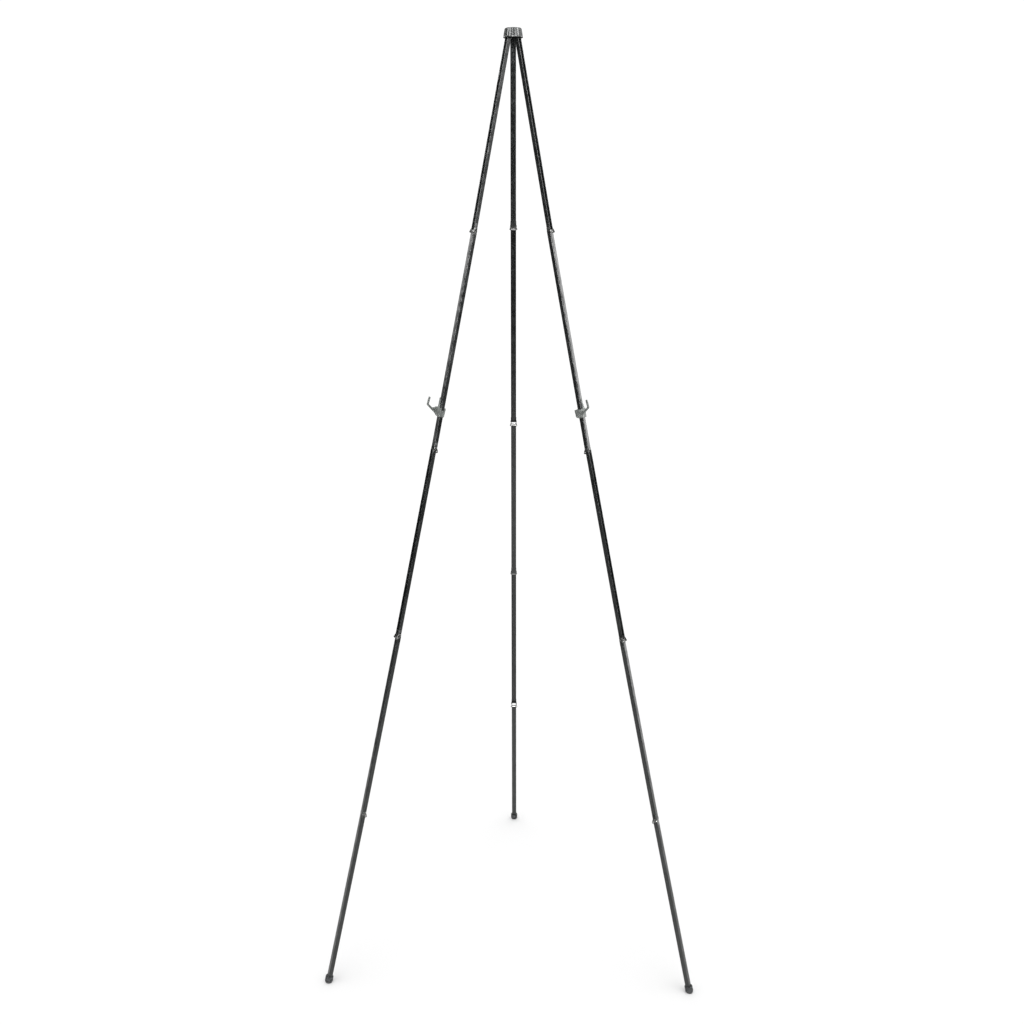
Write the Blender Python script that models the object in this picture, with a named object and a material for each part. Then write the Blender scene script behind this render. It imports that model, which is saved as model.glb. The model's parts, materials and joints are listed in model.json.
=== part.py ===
"""Folding flipchart easel: three legs of five hinged steel channels hang from a fluted top cap.

Every leg folds like a zigzag rule. Each knee has flared ears on the section above and lugs on the
section below, joined by a rivet on the side towards which the lower section swings. The two front
legs carry a sliding board holder with an upturned hook. Metres, +Z up, soles of the feet at z = 0.
"""
import math

import bmesh
import bpy
from mathutils import Matrix, Vector

MM = 0.001

# Driving dimensions of the tripod
SECTION_LENGTHS = (0.311, 0.360, 0.3215, 0.3195, 0.3120)  # pivot to pivot, the last to the sole
SPLAY = math.radians(12.63)               # mean angle of a leg to the vertical
KNEE_KINK = math.radians(0.43)            # each section leans out this much more than the last
LEG_AZIMUTHS = {"front_left": 210.0, "front_right": 330.0, "rear": 90.0}  # degrees from +X
REVERSED_ENDS = ("front_left", "front_right")  # legs whose last section opens away from its fold side

# Channel section
CHANNEL_WIDTH = 9.2 * MM
CHANNEL_DEPTH = 6.8 * MM
WALL = 0.8 * MM
CORNER_RADIUS = 1.6 * MM
CORNER_STEPS = 3
CLEARANCE = 0.3 * MM                      # running clearance between neighbouring pieces
HALF_WIDTH = CHANNEL_WIDTH / 2
HALF_DEPTH = CHANNEL_DEPTH / 2

# Knee
PIVOT_LIFT = 0.3 * MM                     # pivot axis beyond the face of the channel
PIVOT_OFFSET = HALF_DEPTH + PIVOT_LIFT    # pivot axis from the middle of the channel
EAR_RADIUS = 2.0 * MM
EAR_STRAP = 14.0 * MM                     # how far the ears run up the section above
EAR_JOGGLE = 6.0 * MM                     # where the ears step in to the flange
EAR_JOGGLE_RUN = 1.5 * MM                 # length of that step
EAR_SHOULDER = 1.7 * MM                   # where the round end meets the strap
EAR_TIP_ANGLES = (15.0, 40.0, 65.0, 90.0)  # degrees, stations of the round end
LUG_INSET = 0.05 * MM                     # lug's outer face inside the flange's
LUG_OVERLAP = 0.1 * MM                    # lug's inner face inside the channel
NOTCH_MARGIN = 0.2 * MM                   # between the notch and the flanges
WEB_OVERCUT = 0.4 * MM                    # how far the notch cuts past the web
RIVET_RADIUS = 0.9 * MM
RIVET_HEAD_RADIUS = 1.6 * MM
RIVET_HEAD_HEIGHT = 0.7 * MM
BUTT_UPPER = 3.2 * MM                     # end of the upper channel above the pivot
BUTT_LOWER = BUTT_UPPER - CLEARANCE       # end of the lower channel above the pivot
SLOT_PLAY = 0.5 * MM                      # web cut away round the rivet

# Hub and cap
HUB_CORE = 0.77 * MM                      # what is left between two slots' inner corners
HUB_BEARING = 2.9 * MM                    # hub beside a slot that holds an end of the hinge pin
HUB_EDGE = 0.32 * MM                      # hub beyond the ends of the hinge pins
SLOT_HALF = HALF_WIDTH + CLEARANCE
HUB_PIN_LENGTH = 2 * (SLOT_HALF + HUB_BEARING)
HUB_PIVOT_RADIUS = HALF_DEPTH + SLOT_HALF / math.tan(math.radians(60.0)) + HUB_CORE
HUB_RADIUS = math.hypot(HUB_PIVOT_RADIUS, HUB_PIN_LENGTH / 2) + HUB_EDGE
HUB_BELOW = 6.0 * MM                      # hub's lower end under the hinge pins
HUB_ABOVE = 6.3 * MM
HUB_PLATE = 2.1 * MM                      # solid disc at the top of the hub
HUB_CHAMFER = 0.6 * MM
HUB_STEPS = 48
HUB_PIN_RADIUS = 1.2 * MM
LEG_TOP = 3.0 * MM                        # section end above its hinge pin
CAP_CROWN = 1.7 * MM                      # cap's wall at the top, round the hub
CAP_SPREAD = 2.7 * MM                     # how much wider the cap is at its rim
CAP_TOP_RADIUS = HUB_RADIUS + CLEARANCE + CAP_CROWN
CAP_RIM_RADIUS = CAP_TOP_RADIUS + CAP_SPREAD
CAP_WALL = 1.5 * MM
CAP_BELOW = 7.0 * MM                      # cap's rim under the hinge pins
CAP_HEIGHT = 15.0 * MM
CAP_DOME = 1.4 * MM
CAP_ROOF = 1.6 * MM                       # thickness at the middle of the cap's top
CAP_LIP = 1.5 * MM                        # height of the plain rim
CAP_SHOULDER = 0.9 * MM                   # radius lost round the top edge
CAP_FLUTES = 24
CAP_FLUTE_STEPS = 4                       # facets in one flute
CAP_FLUTE_DEPTH = 0.7 * MM

# Feet
FOOT_SKIN = 0.46 * MM                     # rubber at the socket's corners
FOOT_NECK_RADIUS = math.hypot(HALF_DEPTH + CLEARANCE, HALF_WIDTH + CLEARANCE) + FOOT_SKIN
FOOT_BEAD = 0.3 * MM                      # how much wider the foot is than its neck
FOOT_RADIUS = FOOT_NECK_RADIUS + FOOT_BEAD
FOOT_LENGTH = 11.0 * MM
FOOT_SOCKET = 7.5 * MM                    # depth of the leg in the rubber foot
FOOT_OVERRUN = 3.0 * MM                   # rubber below the sole's centre before it is cut flat
FOOT_TAPER = 1.5 * MM                     # length of the neck
FOOT_NECK_EDGE = 0.2 * MM
FOOT_DOME_STEPS = 6
FOOT_STEPS = 24

# Board holder: a cup round the leg that bulges to one side, where its hook stands
HOLDER_RISE = 0.058                       # bottom of the holder above the second knee
HOLDER_WALL = 1.6 * MM
HOLDER_GRIP = 5.0 * MM                    # height of the close fit round the leg
HOLDER_CUP = 14.5 * MM                    # height of the cup
HOLDER_FLARE = 0.6 * MM                   # how much the cup widens to its top
SADDLE_HEIGHT = 10.0 * MM                 # lowest point of the dip in the wall opposite the bulge
SADDLE_HALF = 1.5 * MM                    # half the dip's width there
HOLDER_BULGE = 6.5 * MM                   # cup beyond the sleeve on the hook's side
CHEEK_HEIGHT = 31.0 * MM                  # tongue that rises beside the leg's outer face
CHEEK_HALF = 3.2 * MM                     # half its width at the foot
CHEEK_TIP_HALF = 0.9 * MM                 # half its width at the tip
CHEEK_LEAN = 2.2 * MM                     # how far the tip stands towards the hook's side
HOOK_HEIGHT = 29.0 * MM
HOOK_ELBOW_REACH = 20.2 * MM              # from the leg's centre to the hook's elbow
HOOK_ELBOW_HEIGHT = 16.6 * MM
HOOK_TIP_REACH = 19.2 * MM
HOOK_GAP_REACH = 10.8 * MM                # lowest point of the gap that the board stands in
HOOK_GAP_HEIGHT = 12.0 * MM
HOOK_THICKNESS = 3.0 * MM
HOOK_WIDTH = 2.8 * MM                     # of the arm, across its length

HOLDER_LEGS = ("front_left", "front_right")

ROUND_STEPS = 12                          # facets of rivets, pins, lugs and holes
ALONG_Y = Matrix.Rotation(math.radians(90.0), 4, "X")


def fold_side(section):
    """+1 where the knee below this section folds outwards, -1 where it folds inwards."""
    return 1 if section % 2 == 1 else -1


def material(name, colour, roughness, metallic=0.0):
    made = bpy.data.materials.new(name)
    made.use_nodes = True
    shader = made.node_tree.nodes["Principled BSDF"]
    shader.inputs["Base Color"].default_value = (*colour, 1.0)
    shader.inputs["Roughness"].default_value = roughness
    shader.inputs["Metallic"].default_value = metallic
    return made


def new_object(name, mesh_maker, finish=None, place=Matrix(), cutter=False):
    """An object whose mesh is made by mesh_maker(bm), with outward normals, at matrix place."""
    mesh = bpy.data.meshes.new(name)
    bm = bmesh.new()
    mesh_maker(bm)
    bmesh.ops.recalc_face_normals(bm, faces=bm.faces)
    bm.to_mesh(mesh)
    bm.free()
    made = bpy.data.objects.new(name, mesh)
    bpy.context.scene.collection.objects.link(made)
    made.parent = bpy.data.objects["easel"]
    made.matrix_local = place
    if finish:
        mesh.materials.append(finish)
    if cutter:
        made.hide_render = True
        made.display_type = "WIRE"
    return made


def combine(target, tool, operation):
    """A Boolean modifier on target that joins or cuts with tool, which becomes a hidden guide."""
    tool.hide_render = True
    tool.display_type = "WIRE"
    step = target.modifiers.new(operation.lower(), "BOOLEAN")
    step.operation = operation
    step.solver = "EXACT"
    step.object = tool


def prism(bm, outline, low, high, to_point):
    """A closed prism over a 2-D outline between two levels; to_point(a, b, level) places it."""
    bottom = [bm.verts.new(to_point(a, b, low)) for a, b in outline]
    top = [bm.verts.new(to_point(a, b, high)) for a, b in outline]
    bm.faces.new(bottom)
    bm.faces.new(top)
    for i in range(len(outline)):
        j = (i + 1) % len(outline)
        bm.faces.new((bottom[i], bottom[j], top[j], top[i]))


def along_z(a, b, level):
    return Vector((a, b, level))


def along_y(a, b, level):
    return Vector((a, level, b))


def along_x(a, b, level):
    return Vector((level, a, b))


def arc(centre, radius, start, end, steps):
    """Points on an arc, from start to end in degrees."""
    points = []
    for k in range(steps + 1):
        angle = math.radians(start + (end - start) * k / steps)
        points.append((centre[0] + radius * math.cos(angle), centre[1] + radius * math.sin(angle)))
    return points


def circle(centre, radius, steps=ROUND_STEPS):
    return arc(centre, radius, 0.0, 360.0 - 360.0 / steps, steps - 1)


def turned(bm, profile, steps, radius_at=None):
    """A closed solid of revolution about Z; profile runs from axis to axis as (radius, z)."""
    rings = []
    for radius, z in profile:
        if radius == 0.0:
            rings.append([bm.verts.new((0.0, 0.0, z))])
            continue
        ring = []
        for k in range(steps):
            turn = math.tau * k / steps
            reach = radius_at(radius, z, turn) if radius_at else radius
            ring.append(bm.verts.new((reach * math.cos(turn), reach * math.sin(turn), z)))
        rings.append(ring)
    for lower, upper in zip(rings, rings[1:]):
        for k in range(steps):
            n = (k + 1) % steps
            if len(lower) == 1:
                bm.faces.new((lower[0], upper[n], upper[k]))
            elif len(upper) == 1:
                bm.faces.new((lower[k], lower[n], upper[0]))
            else:
                bm.faces.new((lower[k], lower[n], upper[n], upper[k]))


def loft(bm, stations):
    """A bar of rectangular section along Z; a station is (z, x_low, x_high, y_low, y_high)."""
    rings = []
    for z, x0, x1, y0, y1 in stations:
        corners = ((x0, y0, z), (x1, y0, z), (x1, y1, z), (x0, y1, z))
        rings.append([bm.verts.new(corner) for corner in corners])
    bm.faces.new(rings[0])
    bm.faces.new(rings[-1])
    for lower, upper in zip(rings, rings[1:]):
        for k in range(4):
            n = (k + 1) % 4
            bm.faces.new((lower[k], lower[n], upper[n], upper[k]))


def mirrored(points):
    """The same points on the other side of y = 0, in reverse, to carry an outline on."""
    return [(x, -y) for x, y in reversed(points)]


def channel_outline(open_side):
    """Cross-section of the channel: x is its depth, y its width, open towards open_side."""
    corner = (CORNER_RADIUS - HALF_DEPTH, HALF_WIDTH - CORNER_RADIUS)
    outer = [(HALF_DEPTH, HALF_WIDTH)]
    outer += arc(corner, CORNER_RADIUS, 90.0, 180.0, CORNER_STEPS)
    inner = arc(corner, CORNER_RADIUS - WALL, 180.0, 90.0, CORNER_STEPS)
    inner += [(HALF_DEPTH, HALF_WIDTH - WALL)]
    outline = outer + mirrored(outer) + mirrored(inner) + inner
    return [(x * open_side, y) for x, y in outline]


def ear_stations(pivot_z, side, hand):
    """Flared ear of the section above: round end at the pivot, then a strap up the flange."""
    pivot_x = side * PIVOT_OFFSET
    near = HALF_WIDTH + CLEARANCE
    sunk = HALF_WIDTH - WALL / 2
    back = -side * (HALF_DEPTH - CORNER_RADIUS / 2)
    front = side * (HALF_DEPTH - CLEARANCE)
    rows = []
    for degrees in EAR_TIP_ANGLES:
        reach = EAR_RADIUS * math.sin(math.radians(degrees))
        drop = EAR_RADIUS * math.cos(math.radians(degrees))
        rows.append((-drop, pivot_x - reach, pivot_x + reach, near))
    rows.append((EAR_SHOULDER, back, pivot_x + side * EAR_RADIUS / 2, near))
    rows.append((EAR_JOGGLE, back, front, near))
    rows.append((EAR_JOGGLE + EAR_JOGGLE_RUN, back, front, sunk))
    rows.append((EAR_STRAP, back, front, sunk))
    stations = []
    for z, x_one, x_two, y in rows:
        x_low, x_high = sorted((x_one, x_two))
        y_low, y_high = sorted((hand * y, hand * (y + WALL)))
        stations.append((pivot_z + z, x_low, x_high, y_low, y_high))
    return stations


def make_lug(bm, side, hand):
    """Round lug of the section below, flush with the flange, that turns between the ears."""
    faces = sorted((hand * (HALF_WIDTH - WALL - LUG_OVERLAP), hand * (HALF_WIDTH - LUG_INSET)))
    prism(bm, circle((-side * PIVOT_OFFSET, 0.0), EAR_RADIUS), *faces, along_y)


def make_notch(bm, side):
    """The slot in the web of the section below, where the rivet passes through it."""
    room = HALF_WIDTH - WALL - NOTCH_MARGIN
    web_face = HALF_DEPTH - WALL - WEB_OVERCUT
    x_low, x_high = sorted((-side * web_face, -side * (PIVOT_OFFSET + EAR_RADIUS)))
    half = RIVET_RADIUS + SLOT_PLAY
    loft(bm, [(z, x_low, x_high, -room, room) for z in (-half, half)])


def make_hole(bm, x, z, radius):
    prism(bm, circle((x, z), radius + CLEARANCE), -CHANNEL_WIDTH, CHANNEL_WIDTH, along_y)


def build_section(leg, number, place, steel):
    """One leg section with the ears, lugs, notch and holes of the joints at its ends."""
    name = f"{leg}_leg_section_{number}"
    side = fold_side(number)
    length = SECTION_LENGTHS[number - 1]
    first = number == 1
    last = number == len(SECTION_LENGTHS)
    top = LEG_TOP if first else BUTT_LOWER
    bottom = -length + (FOOT_LENGTH - FOOT_SOCKET if last else BUTT_UPPER)
    open_side = -side if last and leg in REVERSED_ENDS else side

    def body(bm):
        prism(bm, channel_outline(open_side), bottom, top, along_z)
    section = new_object(name, body, steel, place)

    def tool(label, maker, operation):
        cutter = new_object(f"{name}_{label}", maker, place=place, cutter=True)
        combine(section, cutter, operation)

    for hand, label in ((1, "a"), (-1, "b")):
        if not last:
            stations = ear_stations(-length, side, hand)
            tool(f"ear_{label}", lambda bm: loft(bm, stations), "UNION")
        if not first:
            tool(f"lug_{label}", lambda bm: make_lug(bm, side, hand), "UNION")
    if first:
        tool("pin_hole", lambda bm: make_hole(bm, 0.0, 0.0, HUB_PIN_RADIUS), "DIFFERENCE")
    else:
        pivot_x = -side * PIVOT_OFFSET
        if open_side == side:
            tool("notch", lambda bm: make_notch(bm, side), "DIFFERENCE")
        tool("top_hole", lambda bm: make_hole(bm, pivot_x, 0.0, RIVET_RADIUS), "DIFFERENCE")
    if not last:
        pivot_x = side * PIVOT_OFFSET
        tool("low_hole", lambda bm: make_hole(bm, pivot_x, -length, RIVET_RADIUS), "DIFFERENCE")


def build_rivet(name, place, steel):
    """A rivet along Y: a shank with a domed head beyond each ear."""
    grip = HALF_WIDTH + CLEARANCE + WALL + CLEARANCE

    def maker(bm):
        head = [(0.0, grip + RIVET_HEAD_HEIGHT),
                (RIVET_HEAD_RADIUS * 0.6, grip + RIVET_HEAD_HEIGHT * 0.8),
                (RIVET_HEAD_RADIUS, grip + RIVET_HEAD_HEIGHT * 0.25),
                (RIVET_HEAD_RADIUS, grip),
                (RIVET_RADIUS, grip)]
        tail = [(radius, -z) for radius, z in reversed(head)]
        turned(bm, head + tail, ROUND_STEPS)
    new_object(name, maker, steel, place @ ALONG_Y)


def build_foot(leg, place, rubber):
    """A rubber tip pushed over the end of the last section, ground flat where it stands."""
    name = f"{leg}_foot"
    length = SECTION_LENGTHS[-1]
    low = -length - FOOT_OVERRUN
    top = -length + FOOT_LENGTH

    def outside(bm):
        profile = [(0.0, low)]
        for radius, height in arc((0.0, 0.0), FOOT_RADIUS, -90.0, 0.0, FOOT_DOME_STEPS)[1:]:
            profile.append((radius, low + FOOT_RADIUS + height))
        profile.append((FOOT_RADIUS, top - FOOT_TAPER))
        profile.append((FOOT_NECK_RADIUS + FOOT_NECK_EDGE, top - 2 * FOOT_NECK_EDGE))
        profile.append((FOOT_NECK_RADIUS, top))
        profile.append((0.0, top))
        turned(bm, profile, FOOT_STEPS)

    def socket(bm):
        x = HALF_DEPTH + CLEARANCE
        y = HALF_WIDTH + CLEARANCE
        bottom = top - FOOT_SOCKET - CLEARANCE
        loft(bm, [(z, -x, x, -y, y) for z in (bottom, top + FOOT_LENGTH)])

    def floor(bm):
        spread = 4 * FOOT_RADIUS
        loft(bm, [(z, -spread, spread, -spread, spread) for z in (-spread, 0.0)])

    foot = new_object(name, outside, rubber, place)
    combine(foot, new_object(f"{name}_socket", socket, place=place, cutter=True), "DIFFERENCE")
    sole = place @ Vector((0.0, 0.0, -length))
    ground = Matrix.Translation((sole.x, sole.y, 0.0))
    combine(foot, new_object(f"{name}_floor", floor, place=ground, cutter=True), "DIFFERENCE")


def hook_outline():
    """The hook seen from the side, as (reach from the leg's centre, height)."""
    half = HOOK_WIDTH / 2
    root_in = HALF_DEPTH + CLEARANCE
    root_out = root_in + HOLDER_WALL
    elbow = (HOOK_ELBOW_REACH + half, HOOK_ELBOW_HEIGHT)
    bend = math.degrees(math.atan2(HOOK_HEIGHT - HOOK_ELBOW_HEIGHT, HOOK_TIP_REACH - HOOK_ELBOW_REACH))
    tip = arc((HOOK_TIP_REACH, HOOK_HEIGHT - half), half, bend - 90.0, bend + 90.0, 4)
    return [(-root_in, HOLDER_GRIP),
            (root_in, HOLDER_GRIP - HOLDER_WALL),
            (root_out, HOLDER_GRIP - HOLDER_WALL),
            (elbow[0], elbow[1] - half),
            (elbow[0], elbow[1] + half),
            *tip,
            (elbow[0] - HOOK_WIDTH, elbow[1] + half / 2),
            (HOOK_GAP_REACH + half, HOOK_GAP_HEIGHT),
            (HOOK_GAP_REACH - half, HOOK_GAP_HEIGHT),
            (root_out, HOOK_GAP_HEIGHT + half),
            (root_in, HOLDER_CUP - CLEARANCE),
            (-root_in, HOLDER_CUP - CLEARANCE)]


def build_holder(leg, place, plastic):
    """A cup that grips the second section, with a cheek on its outer side and a hook beside it."""
    name = f"{leg}_board_holder"
    x_in = HALF_DEPTH + CLEARANCE
    y_in = HALF_WIDTH + CLEARANCE
    x_out = x_in + HOLDER_WALL
    y_out = y_in + HOLDER_WALL
    x_top = x_out + HOLDER_FLARE
    bulge = y_out + HOLDER_BULGE

    def cup(bm):
        loft(bm, [(0.0, -x_out, x_out, -y_out, y_out),
                  (HOLDER_GRIP - HOLDER_WALL, -x_out, x_out, -bulge, y_out),
                  (HOLDER_CUP, -x_top, x_top, -bulge - HOLDER_FLARE, y_out + HOLDER_FLARE)])

    def bore(bm):
        mouth = bulge - HOLDER_WALL
        loft(bm, [(-HOLDER_CUP, -x_in, x_in, -y_in, y_in),
                  (HOLDER_GRIP, -x_in, x_in, -y_in, y_in),
                  (HOLDER_CUP + HOLDER_WALL, HOLDER_WALL - x_top, x_top - HOLDER_WALL, -mouth, y_in)])

    def saddle(bm):
        outline = [(-SADDLE_HALF, SADDLE_HEIGHT), (SADDLE_HALF, SADDLE_HEIGHT),
                   (x_in, HOLDER_CUP + HOLDER_WALL), (-x_in, HOLDER_CUP + HOLDER_WALL)]
        prism(bm, outline, 0.0, y_out + HOLDER_WALL, along_y)

    def cheek(bm):
        outline = [(-CHEEK_HALF, HOLDER_GRIP), (CHEEK_HALF, HOLDER_GRIP),
                   (CHEEK_HALF, HOLDER_CUP), (CHEEK_TIP_HALF - CHEEK_LEAN, CHEEK_HEIGHT),
                   (-CHEEK_TIP_HALF - CHEEK_LEAN, CHEEK_HEIGHT), (-CHEEK_HALF, HOLDER_CUP)]
        prism(bm, outline, x_in + LUG_INSET, x_out + LUG_INSET, along_x)

    def hook(bm):
        near = -bulge + LUG_INSET
        prism(bm, hook_outline(), near, near + HOOK_THICKNESS, along_y)

    holder = new_object(name, cup, plastic, place)
    for label, maker, operation in (("bore", bore, "DIFFERENCE"), ("saddle", saddle, "DIFFERENCE"),
                                    ("cheek", cheek, "UNION"), ("hook", hook, "UNION")):
        combine(holder, new_object(f"{name}_{label}", maker, place=place, cutter=True), operation)


def build_hub(height, plastic, steel):
    """The hub that hangs on the cap's inside: a disc with three slots and a hinge pin in each."""
    low = height - HUB_BELOW
    high = height + HUB_ABOVE

    def body(bm):
        turned(bm, [(0.0, low), (HUB_RADIUS - HUB_CHAMFER, low), (HUB_RADIUS, low + HUB_CHAMFER),
                    (HUB_RADIUS, high), (0.0, high)], HUB_STEPS)

    def slot(bm):
        half = SLOT_HALF
        loft(bm, [(z, 0.0, 2 * HUB_RADIUS, -half, half) for z in (low - HUB_BELOW, high - HUB_PLATE)])

    def pin_hole(bm):
        outline = circle((HUB_PIVOT_RADIUS, height), HUB_PIN_RADIUS + CLEARANCE)
        prism(bm, outline, -HUB_RADIUS, HUB_RADIUS, along_y)

    def pin(bm):
        half = HUB_PIN_LENGTH / 2
        profile = [(0.0, -half), (HUB_PIN_RADIUS, -half), (HUB_PIN_RADIUS, half), (0.0, half)]
        turned(bm, profile, ROUND_STEPS)

    hub = new_object("hub", body, plastic)
    stand = Matrix.Translation((HUB_PIVOT_RADIUS, 0.0, height)) @ ALONG_Y
    for leg, degrees in LEG_AZIMUTHS.items():
        turn = Matrix.Rotation(math.radians(degrees), 4, "Z")
        combine(hub, new_object(f"{leg}_slot", slot, place=turn, cutter=True), "DIFFERENCE")
        combine(hub, new_object(f"{leg}_pin_hole", pin_hole, place=turn, cutter=True), "DIFFERENCE")
        new_object(f"{leg}_hub_pin", pin, steel, turn @ stand)


def build_cap(height, plastic):
    """The fluted cap: a shallow inverted cup with a domed top and a plain hollow inside."""
    rim = height - CAP_BELOW
    top = rim + CAP_HEIGHT
    shoulder = top - CAP_DOME
    rim_inside = CAP_RIM_RADIUS - CAP_WALL

    def fluted(radius, z, turn):
        outside_wall = radius > rim_inside or (radius > HUB_RADIUS + CAP_WALL and z > rim)
        depth = CAP_FLUTE_DEPTH if outside_wall else 0.0
        return radius - depth * (0.5 - 0.5 * math.cos(CAP_FLUTES * turn))

    def shell(bm):
        inside = [(0.0, top - CAP_ROOF), (HUB_RADIUS + CLEARANCE, top - CAP_ROOF), (rim_inside, rim)]
        outside = [(CAP_RIM_RADIUS, rim), (CAP_RIM_RADIUS, rim + CAP_LIP),
                   (CAP_TOP_RADIUS + CAP_SHOULDER, shoulder - CAP_LIP), (CAP_TOP_RADIUS, shoulder),
                   (CAP_TOP_RADIUS * 0.6, top - CAP_DOME * 0.3), (0.0, top)]
        turned(bm, inside + outside, CAP_FLUTES * CAP_FLUTE_STEPS, fluted)
    new_object("top_cap", shell, plastic)


def leg_frames(azimuth):
    """Matrices of a leg's sections, hinge at the hub at z = 0: X outwards, Y along the pivots."""
    outward = Vector((math.cos(azimuth), math.sin(azimuth), 0.0))
    upward = Vector((0.0, 0.0, 1.0))
    frames = []
    pivot = outward * HUB_PIVOT_RADIUS
    middle = (len(SECTION_LENGTHS) + 1) / 2
    for number, length in enumerate(SECTION_LENGTHS, start=1):
        lean = SPLAY + (number - middle) * KNEE_KINK
        up = upward * math.cos(lean) - outward * math.sin(lean)
        normal = outward * math.cos(lean) + upward * math.sin(lean)
        origin = pivot if number == 1 else pivot - normal * PIVOT_OFFSET * fold_side(number - 1)
        frame = Matrix((normal, up.cross(normal), up)).transposed().to_4x4()
        frame.translation = origin
        frames.append(frame)
        pivot = origin - up * length + normal * PIVOT_OFFSET * fold_side(number)
    return frames


def build_leg(leg, degrees, hub_height, finishes):
    """Five sections, four rivets and a foot, with a board holder on a front leg."""
    lift = Matrix.Translation((0.0, 0.0, hub_height))
    frames = [lift @ frame for frame in leg_frames(math.radians(degrees))]
    for number, frame in enumerate(frames, start=1):
        build_section(leg, number, frame, finishes["black_steel"])
        if number < len(SECTION_LENGTHS):
            pivot = (fold_side(number) * PIVOT_OFFSET, 0.0, -SECTION_LENGTHS[number - 1])
            place = frame @ Matrix.Translation(pivot)
            build_rivet(f"{leg}_knee_rivet_{number}", place, finishes["rivet_steel"])
    build_foot(leg, frames[-1], finishes["foot_rubber"])
    if leg in HOLDER_LEGS:
        seat = Matrix.Translation((0.0, 0.0, -SECTION_LENGTHS[1] + HOLDER_RISE))
        build_holder(leg, frames[1] @ seat, finishes["holder_plastic"])


def evaluated_points(item):
    """All vertices of an object, in place, as its modifiers leave it."""
    evaluated = item.evaluated_get(bpy.context.evaluated_depsgraph_get())
    return [item.matrix_world @ vertex.co for vertex in evaluated.data.vertices]


def footprint_centre():
    """Middle of the box round all visible objects, in plan."""
    bpy.context.view_layer.update()
    shown = [o for o in bpy.data.objects if o.type == "MESH" and not o.hide_render]
    points = [point for o in shown for point in evaluated_points(o)]
    xs = [point.x for point in points]
    ys = [point.y for point in points]
    return Vector(((min(xs) + max(xs)) / 2, (min(ys) + max(ys)) / 2, 0.0))


def main():
    for old in list(bpy.data.objects):
        bpy.data.objects.remove(old)
    easel = bpy.data.objects.new("easel", None)
    bpy.context.scene.collection.objects.link(easel)
    finishes = {
        "black_steel": material("black_steel", (0.020, 0.022, 0.022), 0.32, 0.4),
        "rivet_steel": material("rivet_steel", (0.10, 0.10, 0.10), 0.35, 0.9),
        "cap_plastic": material("cap_plastic", (0.045, 0.050, 0.048), 0.38),
        "holder_plastic": material("holder_plastic", (0.16, 0.17, 0.165), 0.5),
        "foot_rubber": material("foot_rubber", (0.018, 0.019, 0.021), 0.75),
    }
    sole = leg_frames(0.0)[-1] @ Vector((0.0, 0.0, -SECTION_LENGTHS[-1]))
    hub_height = -sole.z
    build_hub(hub_height, finishes["cap_plastic"], finishes["rivet_steel"])
    build_cap(hub_height, finishes["cap_plastic"])
    for leg, degrees in LEG_AZIMUTHS.items():
        build_leg(leg, degrees, hub_height, finishes)
    easel.location = -footprint_centre()
    bpy.context.view_layer.update()


main()
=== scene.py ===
"""Looks of the folding flipchart easel: pressed channels in gloss black paint, blackened rivets, a
fluted plastic cap, moulded board holders and rubber feet. Every place comes from the frame's joints."""
import json
import math

import bmesh
import bpy
from mathutils import Matrix, Vector


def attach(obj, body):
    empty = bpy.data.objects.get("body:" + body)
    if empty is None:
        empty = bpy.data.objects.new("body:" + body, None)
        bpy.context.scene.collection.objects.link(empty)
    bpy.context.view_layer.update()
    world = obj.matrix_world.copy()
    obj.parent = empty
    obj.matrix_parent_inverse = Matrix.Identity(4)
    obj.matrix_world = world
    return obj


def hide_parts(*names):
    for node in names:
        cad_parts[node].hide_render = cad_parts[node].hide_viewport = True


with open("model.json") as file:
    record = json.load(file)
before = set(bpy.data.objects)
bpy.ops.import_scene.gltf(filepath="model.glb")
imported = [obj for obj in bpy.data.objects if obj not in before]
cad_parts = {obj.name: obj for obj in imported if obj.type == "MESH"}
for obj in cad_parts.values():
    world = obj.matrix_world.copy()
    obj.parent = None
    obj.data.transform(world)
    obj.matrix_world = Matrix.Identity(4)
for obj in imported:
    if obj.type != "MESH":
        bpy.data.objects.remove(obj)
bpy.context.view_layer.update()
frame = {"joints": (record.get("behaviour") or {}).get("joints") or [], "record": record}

MM = 0.001

# Channel section, as in the frame
CHANNEL_WIDTH = 9.2 * MM
CHANNEL_DEPTH = 6.8 * MM
WALL = 0.8 * MM
CORNER_RADIUS = 1.6 * MM
CLEARANCE = 0.3 * MM
HALF_WIDTH = CHANNEL_WIDTH / 2
HALF_DEPTH = CHANNEL_DEPTH / 2
LIP_ROUND = 0.25 * MM                     # rounding of the channel's two free edges
END_ROUND = 0.25 * MM                     # rounding of a section's cut ends
END_WEAR = 9.0 * MM                       # how far paint is rubbed from a cut end
CORNER_STEPS = 10

# Knee
PIVOT_OFFSET = HALF_DEPTH + 0.3 * MM      # of the knee rivet, outside the channel
EAR_RADIUS = 2.0 * MM
EAR_STRAP = 14.0 * MM                     # length of an ear above the pivot
EAR_SHOULDER = 1.7 * MM
EAR_JOGGLE = 6.0 * MM
EAR_JOGGLE_RUN = 1.5 * MM
EAR_EDGE = 0.22 * MM                      # rounding of the ears' edges
RIVET_RADIUS = 0.9 * MM
RIVET_HEAD_RADIUS = 1.6 * MM
RIVET_HEAD_HEIGHT = 0.7 * MM
BUTT_UPPER = 3.2 * MM                     # end of the upper channel above the pivot
BUTT_LOWER = BUTT_UPPER - CLEARANCE
SLOT_PLAY = 0.5 * MM                      # web cut away round the rivet
LUG_EDGE = 0.12 * MM

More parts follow.
